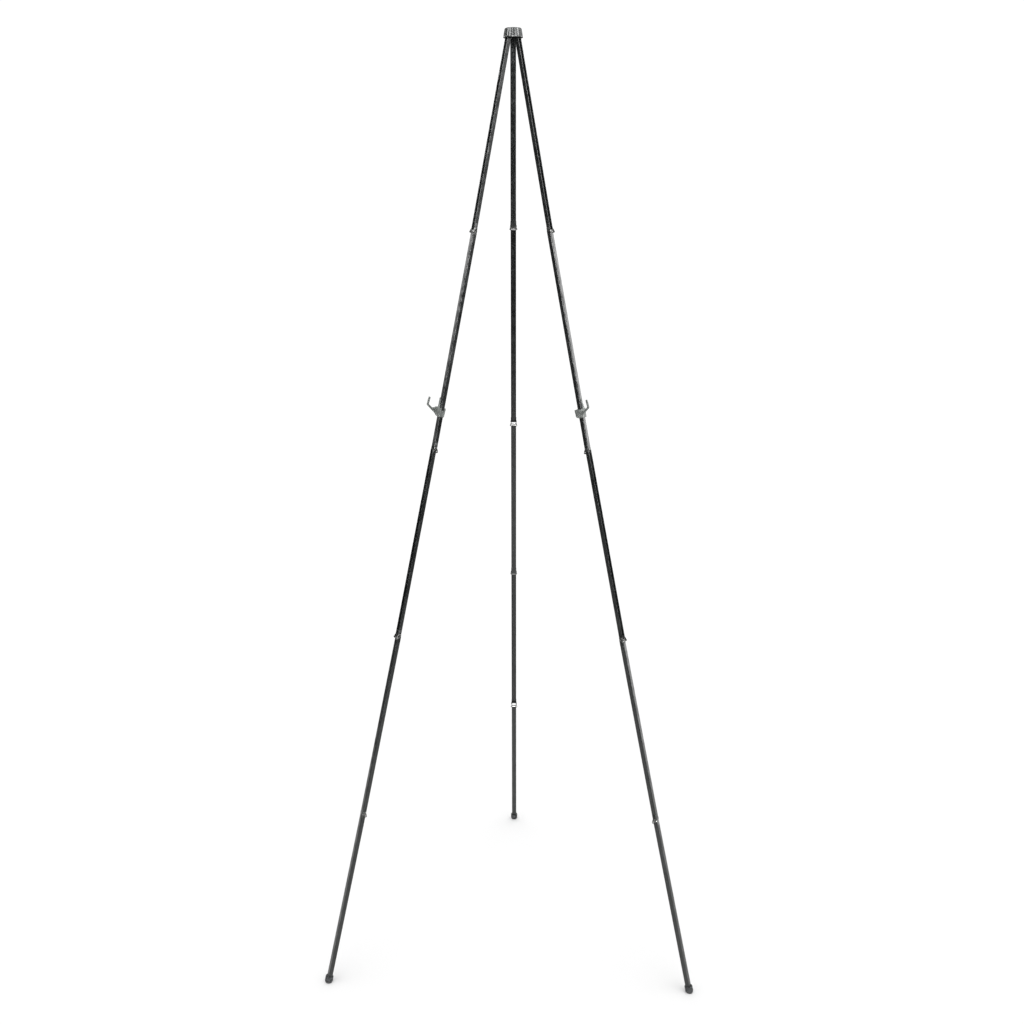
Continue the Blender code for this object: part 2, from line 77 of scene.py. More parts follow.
# Hub and cap
HUB_RADIUS = 10.8 * MM
HUB_BELOW = 6.0 * MM
HUB_ABOVE = 6.3 * MM
HUB_PLATE = 2.1 * MM
HUB_PIVOT_RADIUS = 7.0 * MM
HUB_PIN_RADIUS = 1.2 * MM
HUB_PIN_LENGTH = 15.6 * MM
LEG_TOP = 3.0 * MM
CAP_RIM_RADIUS = 15.5 * MM
CAP_TOP_RADIUS = 12.8 * MM
CAP_WALL = 1.5 * MM
CAP_BELOW = 7.0 * MM
CAP_HEIGHT = 15.0 * MM
CAP_DOME = 1.4 * MM
CAP_FLUTES = 24
CAP_FLUTE_STEPS = 12
CAP_FLUTE_DEPTH = 0.9 * MM
CAP_CROWN_ROUND = 2.6 * MM

# Feet
FOOT_RADIUS = 6.83 * MM
FOOT_NECK_RADIUS = 6.6 * MM
FOOT_LENGTH = 11.0 * MM
FOOT_SOCKET = 7.5 * MM
FOOT_TAPER = 1.5 * MM
FOOT_OVERRUN = 3.0 * MM                   # rubber below the section's end, before the floor cuts it
FOOT_GROOVE = 0.18 * MM
FOOT_STEPS = 64

# Board holder
HOLDER_RISE = 0.058
HOLDER_WALL = 1.6 * MM
HOLDER_GRIP = 5.0 * MM
HOLDER_CUP = 14.5 * MM
HOLDER_FLARE = 0.6 * MM
HOLDER_BULGE = 6.5 * MM
SADDLE_HEIGHT = 10.0 * MM
SADDLE_HALF = 1.5 * MM
CHEEK_HEIGHT = 31.0 * MM
CHEEK_HALF = 3.2 * MM
CHEEK_TIP_HALF = 0.9 * MM
CHEEK_LEAN = 2.2 * MM
HOOK_HEIGHT = 29.0 * MM
HOOK_ELBOW_REACH = 20.2 * MM
HOOK_ELBOW_HEIGHT = 16.6 * MM
HOOK_TIP_REACH = 19.2 * MM
HOOK_GAP_REACH = 10.8 * MM
HOOK_GAP_HEIGHT = 12.0 * MM
HOOK_THICKNESS = 3.0 * MM
HOOK_WIDTH = 2.8 * MM
HOLDER_VOXEL = 0.28 * MM                  # resolution of the moulding's skin

LEGS = ("front_left", "front_right", "rear")
REVERSED_ENDS = ("front_left", "front_right")    # legs whose last section opens inwards
HOLDER_LEGS = ("front_left", "front_right")
HOLDER_SECTION = 2
SECTIONS = 5
ROUND_STEPS = 32
ALONG_Y = Matrix.Rotation(math.radians(90.0), 4, "X")
RECORD_JOINTS = {joint["name"]: joint for joint in frame["joints"]}
RECORD_MOUNTS = {mount["name"]: mount for mount in frame["record"]["mounts"]}


# ---------------------------------------------------------------- places, from the frame

def fold_side(section):
    """+1 where the knee below this section folds outwards, -1 where it folds inwards."""
    return 1 if section % 2 == 1 else -1


def joint_place(name):
    """The joint's place at rest."""
    return Vector(RECORD_JOINTS[name]["pos_m"])


def leg_frames(leg):
    """(matrix, length) of each section: X outwards, Y along the pivots, Z up, from pivot to pivot."""
    pivots = [joint_place(f"{leg}_leg_hinge")]
    pivots += [joint_place(f"{leg}_knee_{n}") for n in range(1, SECTIONS)]
    pivots += [Vector(RECORD_MOUNTS[f"{leg}_foot_sole"]["pos_m"])]
    outward = pivots[-1] - pivots[0]
    outward.z = 0.0
    outward.normalize()
    upward = Vector((0.0, 0.0, 1.0))
    frames = []
    for number in range(1, SECTIONS + 1):
        upper = 0.0 if number == 1 else -fold_side(number) * PIVOT_OFFSET
        lower = 0.0 if number == SECTIONS else fold_side(number) * PIVOT_OFFSET
        chord = pivots[number - 1] - pivots[number]
        length = math.sqrt(chord.length_squared - (upper - lower) ** 2)
        lean = math.atan2(-chord.dot(outward), chord.z) + math.atan2(upper - lower, length)
        up = upward * math.cos(lean) - outward * math.sin(lean)
        normal = outward * math.cos(lean) + upward * math.sin(lean)
        place = Matrix((normal, up.cross(normal), up)).transposed().to_4x4()
        place.translation = pivots[number - 1] - normal * upper
        frames.append((place, length))
    return frames


# ---------------------------------------------------------------- mesh tools

def arc(centre, radius, start, end, steps):
    """Points on an arc, from start to end in degrees."""
    points = []
    for k in range(steps + 1):
        angle = math.radians(start + (end - start) * k / steps)
        points.append((centre[0] + radius * math.cos(angle), centre[1] + radius * math.sin(angle)))
    return points


def circle(centre, radius):
    """Points round a whole circle."""
    return arc(centre, radius, 0.0, 360.0 - 360.0 / ROUND_STEPS, ROUND_STEPS - 1)


def smooth_step(share):
    """Eased from 0 to 1."""
    return share * share * (3 - 2 * share)


def mirrored(points):
    """The points mirrored in y, in reverse, so that an outline goes on."""
    return [(x, -y) for x, y in reversed(points)]


def skin(bm, rings, closed_ends=True):
    """Faces between rings of equal length, and over the first and the last ring."""
    made = [[bm.verts.new(point) for point in ring] for ring in rings]
    count = len(made[0])
    if closed_ends:
        bm.faces.new(made[0])
        bm.faces.new(made[-1])
    for lower, upper in zip(made, made[1:]):
        for k in range(count):
            n = (k + 1) % count
            bm.faces.new((lower[k], lower[n], upper[n], upper[k]))


def rounded_box_ring(x_low, x_high, y_low, y_high, radius, z, steps=3):
    """A rectangle with round corners in the plane z."""
    radius = min(radius, (x_high - x_low) / 2 * 0.98, (y_high - y_low) / 2 * 0.98)
    ring = []
    corners = ((x_high, y_high, 0.0), (x_low, y_high, 90.0), (x_low, y_low, 180.0), (x_high, y_low, 270.0))
    for x, y, start in corners:
        centre_x = x - radius if x == x_high else x + radius
        centre_y = y - radius if y == y_high else y + radius
        for a, b in arc((centre_x, centre_y), radius, start, start + 90.0, steps):
            ring.append(Vector((a, b, z)))
    return ring


def turned(bm, profile, steps=ROUND_STEPS, reach_at=None):
    """A closed solid of revolution about Z; profile runs from axis to axis as (radius, z)."""
    rings = []
    for radius, z in profile:
        if radius == 0.0:
            rings.append([bm.verts.new((0.0, 0.0, z))])
            continue
        ring = []
        for k in range(steps):
            turn = math.tau * k / steps
            reach = reach_at(radius, z, turn) if reach_at else radius
            ring.append(bm.verts.new((reach * math.cos(turn), reach * math.sin(turn), z)))
        rings.append(ring)
    for lower, upper in zip(rings, rings[1:]):
        for k in range(steps):
            n = (k + 1) % steps
            if len(lower) == 1:
                bm.faces.new((lower[0], upper[n], upper[k]))
            elif len(upper) == 1:
                bm.faces.new((lower[k], lower[n], upper[0]))
            else:
                bm.faces.new((lower[k], lower[n], upper[n], upper[k]))


def scratch_object(name, maker):
    """A loose object whose mesh is made by maker(bm)."""
    mesh = bpy.data.meshes.new(name)
    bm = bmesh.new()
    maker(bm)
    bmesh.ops.recalc_face_normals(bm, faces=bm.faces)
    bm.to_mesh(mesh)
    bm.free()
    made = bpy.data.objects.new(name, mesh)
    bpy.context.scene.collection.objects.link(made)
    return made


def modifier(target, kind, **values):
    """Adds a modifier of that kind with those values."""
    step = target.modifiers.new(kind.lower(), kind)
    for key, value in values.items():
        setattr(step, key, value)
    return step


def finished_mesh(name, maker, tools=(), after=(), sharp=35.0):
    """The mesh of maker, with Boolean tools (maker, operation) and then modifiers, all applied."""
    base = scratch_object(name, maker)
    helpers = []
    for tool_maker, operation in tools:
        helper = scratch_object(f"{name}_tool", tool_maker)
        helpers.append(helper)
        modifier(base, "BOOLEAN", operation=operation, solver="EXACT", object=helper)
    for kind, values in after:
        modifier(base, kind, **values)
    bpy.context.view_layer.update()
    evaluated = base.evaluated_get(bpy.context.evaluated_depsgraph_get())
    mesh = bpy.data.meshes.new_from_object(evaluated)
    mesh.name = name
    for spare in [base, *helpers]:
        bpy.data.objects.remove(spare)
    mesh.shade_smooth()
    mesh.set_sharp_from_angle(angle=math.radians(sharp))
    return mesh


def wear_attribute(mesh, amount_at):
    """Stores how worn each point is, from 0 to 1, for the materials to read."""
    layer = mesh.attributes.new("wear", "FLOAT", "POINT")
    for vertex in mesh.vertices:
        layer.data[vertex.index].value = amount_at(vertex.co)


def place_piece(name, mesh, place, finish, body, node):
    """Shows a copy of mesh at matrix place, riding on body, instead of the CAD node."""
    mesh = mesh.copy()
    mesh.transform(place)
    mesh.materials.append(finish)
    made = bpy.data.objects.new(name, mesh)
    bpy.context.scene.collection.objects.link(made)
    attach(made, body)
    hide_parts(node)


# ---------------------------------------------------------------- leg sections

def channel_outline(open_side, inset=0.0):
    """Cross-section of the channel with round lips; inset pulls the skin in, for rounded ends."""
    corner = (CORNER_RADIUS - HALF_DEPTH, HALF_WIDTH - CORNER_RADIUS)
    lip = HALF_DEPTH - LIP_ROUND - inset
    middle = HALF_WIDTH - WALL / 2
    half_lip = WALL / 2 - inset
    outer = [(x + lip, y + middle) for x, y in arc((0.0, 0.0), half_lip, 0.0, 90.0, 4)]
    outer += arc(corner, CORNER_RADIUS - inset, 90.0, 180.0, CORNER_STEPS)
    inner = arc(corner, CORNER_RADIUS - WALL + inset, 180.0, 90.0, CORNER_STEPS)
    inner += [(x + lip, y + middle) for x, y in arc((0.0, 0.0), half_lip, -90.0, -18.0, 4)]
    outline = outer + mirrored(outer) + mirrored(inner) + inner
    return [(x * open_side, y) for x, y in outline]


def channel_body(bm, side, bottom, top):
    """The channel between two levels, its cut ends slightly rounded."""
    length = top - bottom
    steps = max(4, round(length / (12 * MM)))
    levels = [(bottom, END_ROUND * 0.7), (bottom + END_ROUND * 0.3, END_ROUND * 0.3)]
    levels += [(bottom + END_ROUND, 0.0)]
    levels += [(bottom + length * k / steps, 0.0) for k in range(1, steps)]
    levels += [(top - END_ROUND, 0.0), (top - END_ROUND * 0.3, END_ROUND * 0.3)]
    levels += [(top, END_ROUND * 0.7)]
    skin(bm, [[Vector((x, y, z)) for x, y in channel_outline(side, inset)] for z, inset in levels])


def ear_body(bm, pivot_z, side, hand):
    """Flared ear of the section above, with a round end and soft edges."""
    pivot_x = side * PIVOT_OFFSET
    near = HALF_WIDTH + CLEARANCE
    sunk = HALF_WIDTH - WALL / 2
    back = -side * (HALF_DEPTH - CORNER_RADIUS / 2)
    front = side * (HALF_DEPTH - CLEARANCE)
    rows = []
    for degrees in range(6, 85, 13):
        reach = EAR_RADIUS * math.sin(math.radians(degrees))
        drop = EAR_RADIUS * math.cos(math.radians(degrees))
        rows.append((-drop, pivot_x - reach, pivot_x + reach, near))
    waist = pivot_x + side * EAR_RADIUS / 2
    rows.append((EAR_SHOULDER, back, waist, near))
    for k in range(7):
        level = EAR_SHOULDER + (EAR_JOGGLE - EAR_SHOULDER) * (k + 1) / 7
        rows.append((level, back, waist + (front - waist) * smooth_step(k / 6), near))
    for k in range(1, 7):
        level = EAR_JOGGLE + EAR_JOGGLE_RUN * (k / 6)
        rows.append((level, back, front, near + (sunk - near) * smooth_step(k / 6)))
    rows.append((EAR_STRAP - EAR_EDGE, back, front, sunk))
    rows.append((EAR_STRAP, back * 0.93, front * 0.93, sunk - EAR_EDGE / 2))
    rings = []
    for z, x_one, x_two, y in rows:
        x_low, x_high = sorted((x_one, x_two))
        y_low, y_high = sorted((hand * y, hand * (y + WALL)))
        rings.append(rounded_box_ring(x_low, x_high, y_low, y_high, EAR_EDGE, pivot_z + z))
    skin(bm, rings)


def disc_along_y(bm, x, z, radius, y_low, y_high, edge=0.0):
    """A disc whose axis is along Y, its rims rounded by edge."""
    profile = [(y_low, radius - edge), (y_low + edge, radius),
               (y_high - edge, radius), (y_high, radius - edge)]
    if edge == 0.0:
        profile = [(y_low, radius), (y_high, radius)]
    rings = []
    for y, reach in profile:
        rings.append([Vector((x + a, y, z + b)) for a, b in circle((0, 0), reach)])
    skin(bm, rings)


def lug_body(bm, side, hand):
    """Round lug of the section below, sunk in its flange."""
    y_low, y_high = sorted((hand * (HALF_WIDTH - WALL - 0.1 * MM), hand * (HALF_WIDTH - 0.05 * MM)))
    disc_along_y(bm, -side * PIVOT_OFFSET, 0.0, EAR_RADIUS, y_low, y_high, LUG_EDGE)


def notch_body(bm, side):
    """Cutter for the slot in the web, where the rivet crosses it."""
    room = HALF_WIDTH - WALL - 0.2 * MM
    x_low, x_high = sorted((-side * (HALF_DEPTH - WALL - 0.4 * MM), -side * (PIVOT_OFFSET + EAR_RADIUS)))
    half = RIVET_RADIUS + SLOT_PLAY
    skin(bm, [rounded_box_ring(x_low, x_high, -room, room, 0.6 * MM, z) for z in (-half, half)])


def section_mesh(number, length, reversed_end=False):
    """The painted channel of one section with its ears, lugs, notch and holes."""
    side = fold_side(number)
    open_side = -side if reversed_end else side
    first = number == 1
    last = number == SECTIONS
    top = LEG_TOP if first else BUTT_LOWER
    bottom = -length + (FOOT_LENGTH - FOOT_SOCKET if last else BUTT_UPPER)
    tools = []
    for hand in (1, -1):
        if not last:
            tools.append((lambda bm, hand=hand: ear_body(bm, -length, side, hand), "UNION"))
        if not first:
            tools.append((lambda bm, hand=hand: lug_body(bm, side, hand), "UNION"))

    def hole(bm, x, z, radius):
        disc_along_y(bm, x, z, radius + CLEARANCE, -CHANNEL_WIDTH, CHANNEL_WIDTH)

    if first:
        tools.append((lambda bm: hole(bm, 0.0, 0.0, HUB_PIN_RADIUS), "DIFFERENCE"))
    else:
        if open_side == side:
            tools.append((lambda bm: notch_body(bm, side), "DIFFERENCE"))
        tools.append((lambda bm: hole(bm, -side * PIVOT_OFFSET, 0.0, RIVET_RADIUS), "DIFFERENCE"))
    if not last:
        tools.append((lambda bm: hole(bm, side * PIVOT_OFFSET, -length, RIVET_RADIUS), "DIFFERENCE"))

    mesh = finished_mesh(f"leg_section_{number}", lambda bm: channel_body(bm, open_side, bottom, top), tools)

    def worn(point):
        to_end = min(top - point.z, point.z - bottom)
        at_end = max(0.0, 1.0 - to_end / END_WEAR)
        at_lip = max(0.0, open_side * point.x / HALF_DEPTH - 0.8) * 2.5
        flank = 0.35 if abs(point.y) > HALF_WIDTH * 0.99 else 0.0
        return min(1.0, max(at_end, at_lip * 0.6) + flank * at_end)

    wear_attribute(mesh, worn)
    return mesh


# ---------------------------------------------------------------- rivets, pins, feet

def rivet_mesh():
    """A rivet along Z: a shank with a domed head and a struck ring at both ends."""
    grip = HALF_WIDTH + CLEARANCE + WALL + CLEARANCE

    def maker(bm):
        head = [(0.0, grip + RIVET_HEAD_HEIGHT * 0.93),
                (RIVET_HEAD_RADIUS * 0.16, grip + RIVET_HEAD_HEIGHT * 0.93),
                (RIVET_HEAD_RADIUS * 0.24, grip + RIVET_HEAD_HEIGHT)]
        for degrees in range(68, -1, -8):
            turn = math.radians(degrees)
            head.append((RIVET_HEAD_RADIUS * math.cos(turn),
                         grip + RIVET_HEAD_HEIGHT * (0.2 + 0.8 * math.sin(turn) ** 0.9)))
        head += [(RIVET_HEAD_RADIUS, grip + 0.05 * MM), (RIVET_HEAD_RADIUS - 0.06 * MM, grip),
                 (RIVET_RADIUS, grip)]
        tail = [(radius, -z) for radius, z in reversed(head)]
        turned(bm, head + tail)
    return finished_mesh("knee_rivet", maker, sharp=50.0)


def pin_mesh():
    """A hinge pin along Z with bevelled ends."""
    def maker(bm):
        half = HUB_PIN_LENGTH / 2
        edge = 0.25 * MM
        profile = [(0.0, -half), (HUB_PIN_RADIUS - edge, -half), (HUB_PIN_RADIUS, edge - half),
                   (HUB_PIN_RADIUS, half - edge), (HUB_PIN_RADIUS - edge, half), (0.0, half)]
        turned(bm, profile)
    return finished_mesh("hub_pin", maker)


def foot_mesh(length, floor_point, floor_normal):
    """A rubber tip: domed sole ground flat by the floor, moulded rings and a round mouth."""
    low = -length - FOOT_OVERRUN
    top = -length + FOOT_LENGTH

    def outside(bm):
        profile = [(0.0, low)]
        for radius, height in arc((0.0, 0.0), FOOT_RADIUS, -90.0, 0.0, 14)[1:]:
            profile.append((radius, low + FOOT_RADIUS + height))
        body_top = top - FOOT_TAPER
        start = low + FOOT_RADIUS
        for k in range(1, 15):
            level = start + (body_top - start) * k / 14
            groove = FOOT_GROOVE if k in (5, 10) else 0.0
            profile.append((FOOT_RADIUS - groove, level))
        for degrees in range(15, 91, 15):
            turn = math.radians(degrees)
            profile.append((FOOT_NECK_RADIUS + (FOOT_RADIUS - FOOT_NECK_RADIUS) * math.cos(turn),
                            body_top + (top - body_top) * math.sin(turn)))
        profile.append((0.0, top))
        turned(bm, profile, FOOT_STEPS)

    def socket(bm):
        x = HALF_DEPTH + CLEARANCE
        y = HALF_WIDTH + CLEARANCE
        levels = (top - FOOT_SOCKET - CLEARANCE, top + FOOT_LENGTH)
        skin(bm, [rounded_box_ring(-x, x, -y, y, CORNER_RADIUS, z) for z in levels])
    mesh = finished_mesh("rubber_foot", outside, [(socket, "DIFFERENCE")], sharp=45.0)
    bm = bmesh.new()
    bm.from_mesh(mesh)
    geometry = bm.verts[:] + bm.edges[:] + bm.faces[:]
    cut = bmesh.ops.bisect_plane(bm, geom=geometry, plane_co=floor_point, plane_no=floor_normal,
                                 clear_inner=True)
    edges = [item for item in cut["geom_cut"] if isinstance(item, bmesh.types.BMEdge)]
    bmesh.ops.holes_fill(bm, edges=edges)
    bmesh.ops.recalc_face_normals(bm, faces=bm.faces)
    bm.to_mesh(mesh)
    bm.free()
    mesh.shade_smooth()
    mesh.set_sharp_from_angle(angle=math.radians(45.0))

    def worn(point):
        return max(0.0, 1.0 - (point.z + length) / (5 * MM))
    wear_attribute(mesh, worn)
    return mesh


# ---------------------------------------------------------------- board holder

def hook_outline():
    """The hook seen from the side, as (reach from the leg's centre, height)."""
    half = HOOK_WIDTH / 2
    root_in = HALF_DEPTH + CLEARANCE
    root_out = root_in + HOLDER_WALL
    elbow = (HOOK_ELBOW_REACH + half, HOOK_ELBOW_HEIGHT)
    bend = math.degrees(math.atan2(HOOK_HEIGHT - HOOK_ELBOW_HEIGHT, HOOK_TIP_REACH - HOOK_ELBOW_REACH))
    tip = arc((HOOK_TIP_REACH, HOOK_HEIGHT - half), half, bend - 90.0, bend + 90.0, 8)
    return [(-root_in, HOLDER_GRIP),
            (root_in, HOLDER_GRIP - HOLDER_WALL),
            (root_out, HOLDER_GRIP - HOLDER_WALL),
            (elbow[0] - half * 0.6, elbow[1] - half * 1.5),
            (elbow[0], elbow[1] - half * 0.4),
            (elbow[0], elbow[1] + half),
            *tip,
            (elbow[0] - HOOK_WIDTH, elbow[1] + half),
            (elbow[0] - HOOK_WIDTH - half * 0.5, elbow[1] - half * 0.2),
            (HOOK_GAP_REACH + half, HOOK_GAP_HEIGHT + half * 0.2),
            (HOOK_GAP_REACH, HOOK_GAP_HEIGHT - half * 0.2),
            (HOOK_GAP_REACH - half, HOOK_GAP_HEIGHT),
            (root_out, HOOK_GAP_HEIGHT + half),
            (root_in, HOLDER_CUP - CLEARANCE),
            (-root_in, HOLDER_CUP - CLEARANCE)]


def holder_mesh():
    """The moulding: a cup round the leg, a cheek on its outer side and a hook beside it."""
    x_in = HALF_DEPTH + CLEARANCE
    y_in = HALF_WIDTH + CLEARANCE
    x_out = x_in + HOLDER_WALL
    y_out = y_in + HOLDER_WALL
    x_top = x_out + HOLDER_FLARE
    bulge = y_out + HOLDER_BULGE
    start = HOLDER_GRIP - HOLDER_WALL

    def cup(bm):
        rings = [rounded_box_ring(-x_out, x_out, -y_out, y_out, 1.8 * MM, 0.0, 6)]
        for k in range(1, 7):
            ease = math.sin(math.pi / 2 * k / 6)
            rings.append(rounded_box_ring(-x_out, x_out, -y_out - HOLDER_BULGE * ease, y_out,
                                          2.4 * MM, start * k / 6, 6))
        rings.append(rounded_box_ring(-x_top, x_top, -bulge - HOLDER_FLARE, y_out + HOLDER_FLARE,
                                      2.8 * MM, HOLDER_CUP, 6))
        skin(bm, rings)

    def bore(bm):
        mouth = bulge - HOLDER_WALL
        wide = x_top - HOLDER_WALL
        skin(bm, [rounded_box_ring(-x_in, x_in, -y_in, y_in, 1.0 * MM, -HOLDER_CUP, 6),
                  rounded_box_ring(-x_in, x_in, -y_in, y_in, 1.0 * MM, HOLDER_GRIP, 6),
                  rounded_box_ring(-wide, wide, -mouth, y_in, 2.0 * MM, HOLDER_CUP + HOLDER_WALL, 6)])

    def flat(bm, outline, low, high, along):
        skin(bm, [[along(a, b, level) for a, b in outline] for level in (low, high)])

    def cheek(bm):
        outline = [(-CHEEK_HALF, HOLDER_GRIP), (CHEEK_HALF, HOLDER_GRIP), (CHEEK_HALF, HOLDER_CUP)]
        outline += arc((-CHEEK_LEAN, CHEEK_HEIGHT - CHEEK_TIP_HALF), CHEEK_TIP_HALF, 0.0, 180.0, 6)
        outline += [(-CHEEK_HALF, HOLDER_CUP)]
        flat(bm, outline, x_in + 0.05 * MM, x_out + 0.05 * MM, lambda a, b, x: Vector((x, a, b)))

    def saddle(bm):
        outline = [(-SADDLE_HALF, SADDLE_HEIGHT), (SADDLE_HALF, SADDLE_HEIGHT),
                   (x_in, HOLDER_CUP + HOLDER_WALL), (-x_in, HOLDER_CUP + HOLDER_WALL)]
        flat(bm, outline, 0.0, y_out + HOLDER_WALL, lambda a, b, y: Vector((a, y, b)))

    def hook(bm):
        near = -bulge + 0.05 * MM
        flat(bm, hook_outline(), near, near + HOOK_THICKNESS, lambda a, b, y: Vector((a, y, b)))

    return finished_mesh("board_holder", cup,
                         [(bore, "DIFFERENCE"), (saddle, "DIFFERENCE"), (cheek, "UNION"), (hook, "UNION")],
                         [("REMESH", {"mode": "VOXEL", "voxel_size": HOLDER_VOXEL, "adaptivity": 0.0}),
                          ("SMOOTH", {"factor": 0.5, "iterations": 3})], sharp=180.0)


# ---------------------------------------------------------------- hub and cap

def hub_mesh():
    """The disc with three slots, its hinge pins at z = 0."""
    def body(bm):
        low, high, edge = -HUB_BELOW, HUB_ABOVE, 0.6 * MM
        turned(bm, [(0.0, low), (HUB_RADIUS - edge, low), (HUB_RADIUS, low + edge),
                    (HUB_RADIUS, high - edge / 2), (HUB_RADIUS - edge / 2, high), (0.0, high)], 96)
    tools = []
    for leg in LEGS:
        hinge = leg_frames(leg)[0][0]
        turn = Matrix.Rotation(math.atan2(hinge[1][0], hinge[0][0]), 4, "Z")

        def slot(bm, turn=turn):
            half = HALF_WIDTH + CLEARANCE
            rings = []
            for z in (-2 * HUB_BELOW, HUB_ABOVE - HUB_PLATE):
                corners = ((0.0, -half), (2 * HUB_RADIUS, -half), (2 * HUB_RADIUS, half), (0.0, half))
                rings.append([turn @ Vector((x, y, z)) for x, y in corners])
            skin(bm, rings)

        def pin_hole(bm, turn=turn):
            radius = HUB_PIN_RADIUS + CLEARANCE
            rings = []
            for y in (-HUB_RADIUS, HUB_RADIUS):
                ring = circle((HUB_PIVOT_RADIUS, 0.0), radius)
                rings.append([turn @ Vector((x, y, z)) for x, z in ring])
            skin(bm, rings)
        tools += [(slot, "DIFFERENCE"), (pin_hole, "DIFFERENCE")]
    return finished_mesh("cap_hub", body, tools)


def cap_mesh():
    """The cap with crisp scalloped flutes between a plain lip and a rounded crown."""
    rim = -CAP_BELOW
    top = rim + CAP_HEIGHT
    shoulder = top - CAP_DOME
    rim_inside = CAP_RIM_RADIUS - CAP_WALL
    flute_low, flute_high = rim + 0.9 * MM, shoulder - 0.2 * MM

    def fluted(radius, z, turn):
        if radius <= rim_inside and z <= rim + 0.01 * MM or radius < CAP_TOP_RADIUS * 0.9 or z < flute_low:
            return radius
        fade = min(1.0, (z - flute_low) / (1.2 * MM), max(0.0, (top - 0.2 * MM - z) / (1.6 * MM)))
        scallop = 1.0 - abs(math.cos(CAP_FLUTES * turn / 2)) ** 1.6
        return radius - CAP_FLUTE_DEPTH * fade * (1.0 - scallop)

    def shell(bm):
        ceiling = top - 1.6 * MM
        profile = [(0.0, ceiling), (HUB_RADIUS + CLEARANCE, ceiling), (rim_inside, rim + 0.2 * MM),
                   (rim_inside + 0.2 * MM, rim), (CAP_RIM_RADIUS - 0.3 * MM, rim),
                   (CAP_RIM_RADIUS, rim + 0.3 * MM)]
        wall_top = CAP_TOP_RADIUS + 0.9 * MM
        low, high = rim + 0.9 * MM, shoulder - 1.5 * MM
        for k in range(13):
            share = k / 12
            profile.append((CAP_RIM_RADIUS + (wall_top - CAP_RIM_RADIUS) * share ** 1.3,
                            low + (high - low) * share))
        for degrees in range(10, 81, 10):
            turn = math.radians(degrees)
            profile.append((wall_top - CAP_CROWN_ROUND + CAP_CROWN_ROUND * math.cos(turn),
                            high + (top - 0.35 * MM - high) * math.sin(turn)))
        profile += [(CAP_TOP_RADIUS * 0.72, top - 0.3 * MM), (CAP_TOP_RADIUS * 0.68, top - 0.45 * MM),
                    (CAP_TOP_RADIUS * 0.64, top - 0.25 * MM), (CAP_TOP_RADIUS * 0.3, top - 0.05 * MM),
                    (0.0, top)]
        turned(bm, profile, CAP_FLUTES * CAP_FLUTE_STEPS, fluted)
    return finished_mesh("fluted_cap", shell, sharp=50.0)


# ---------------------------------------------------------------- materials

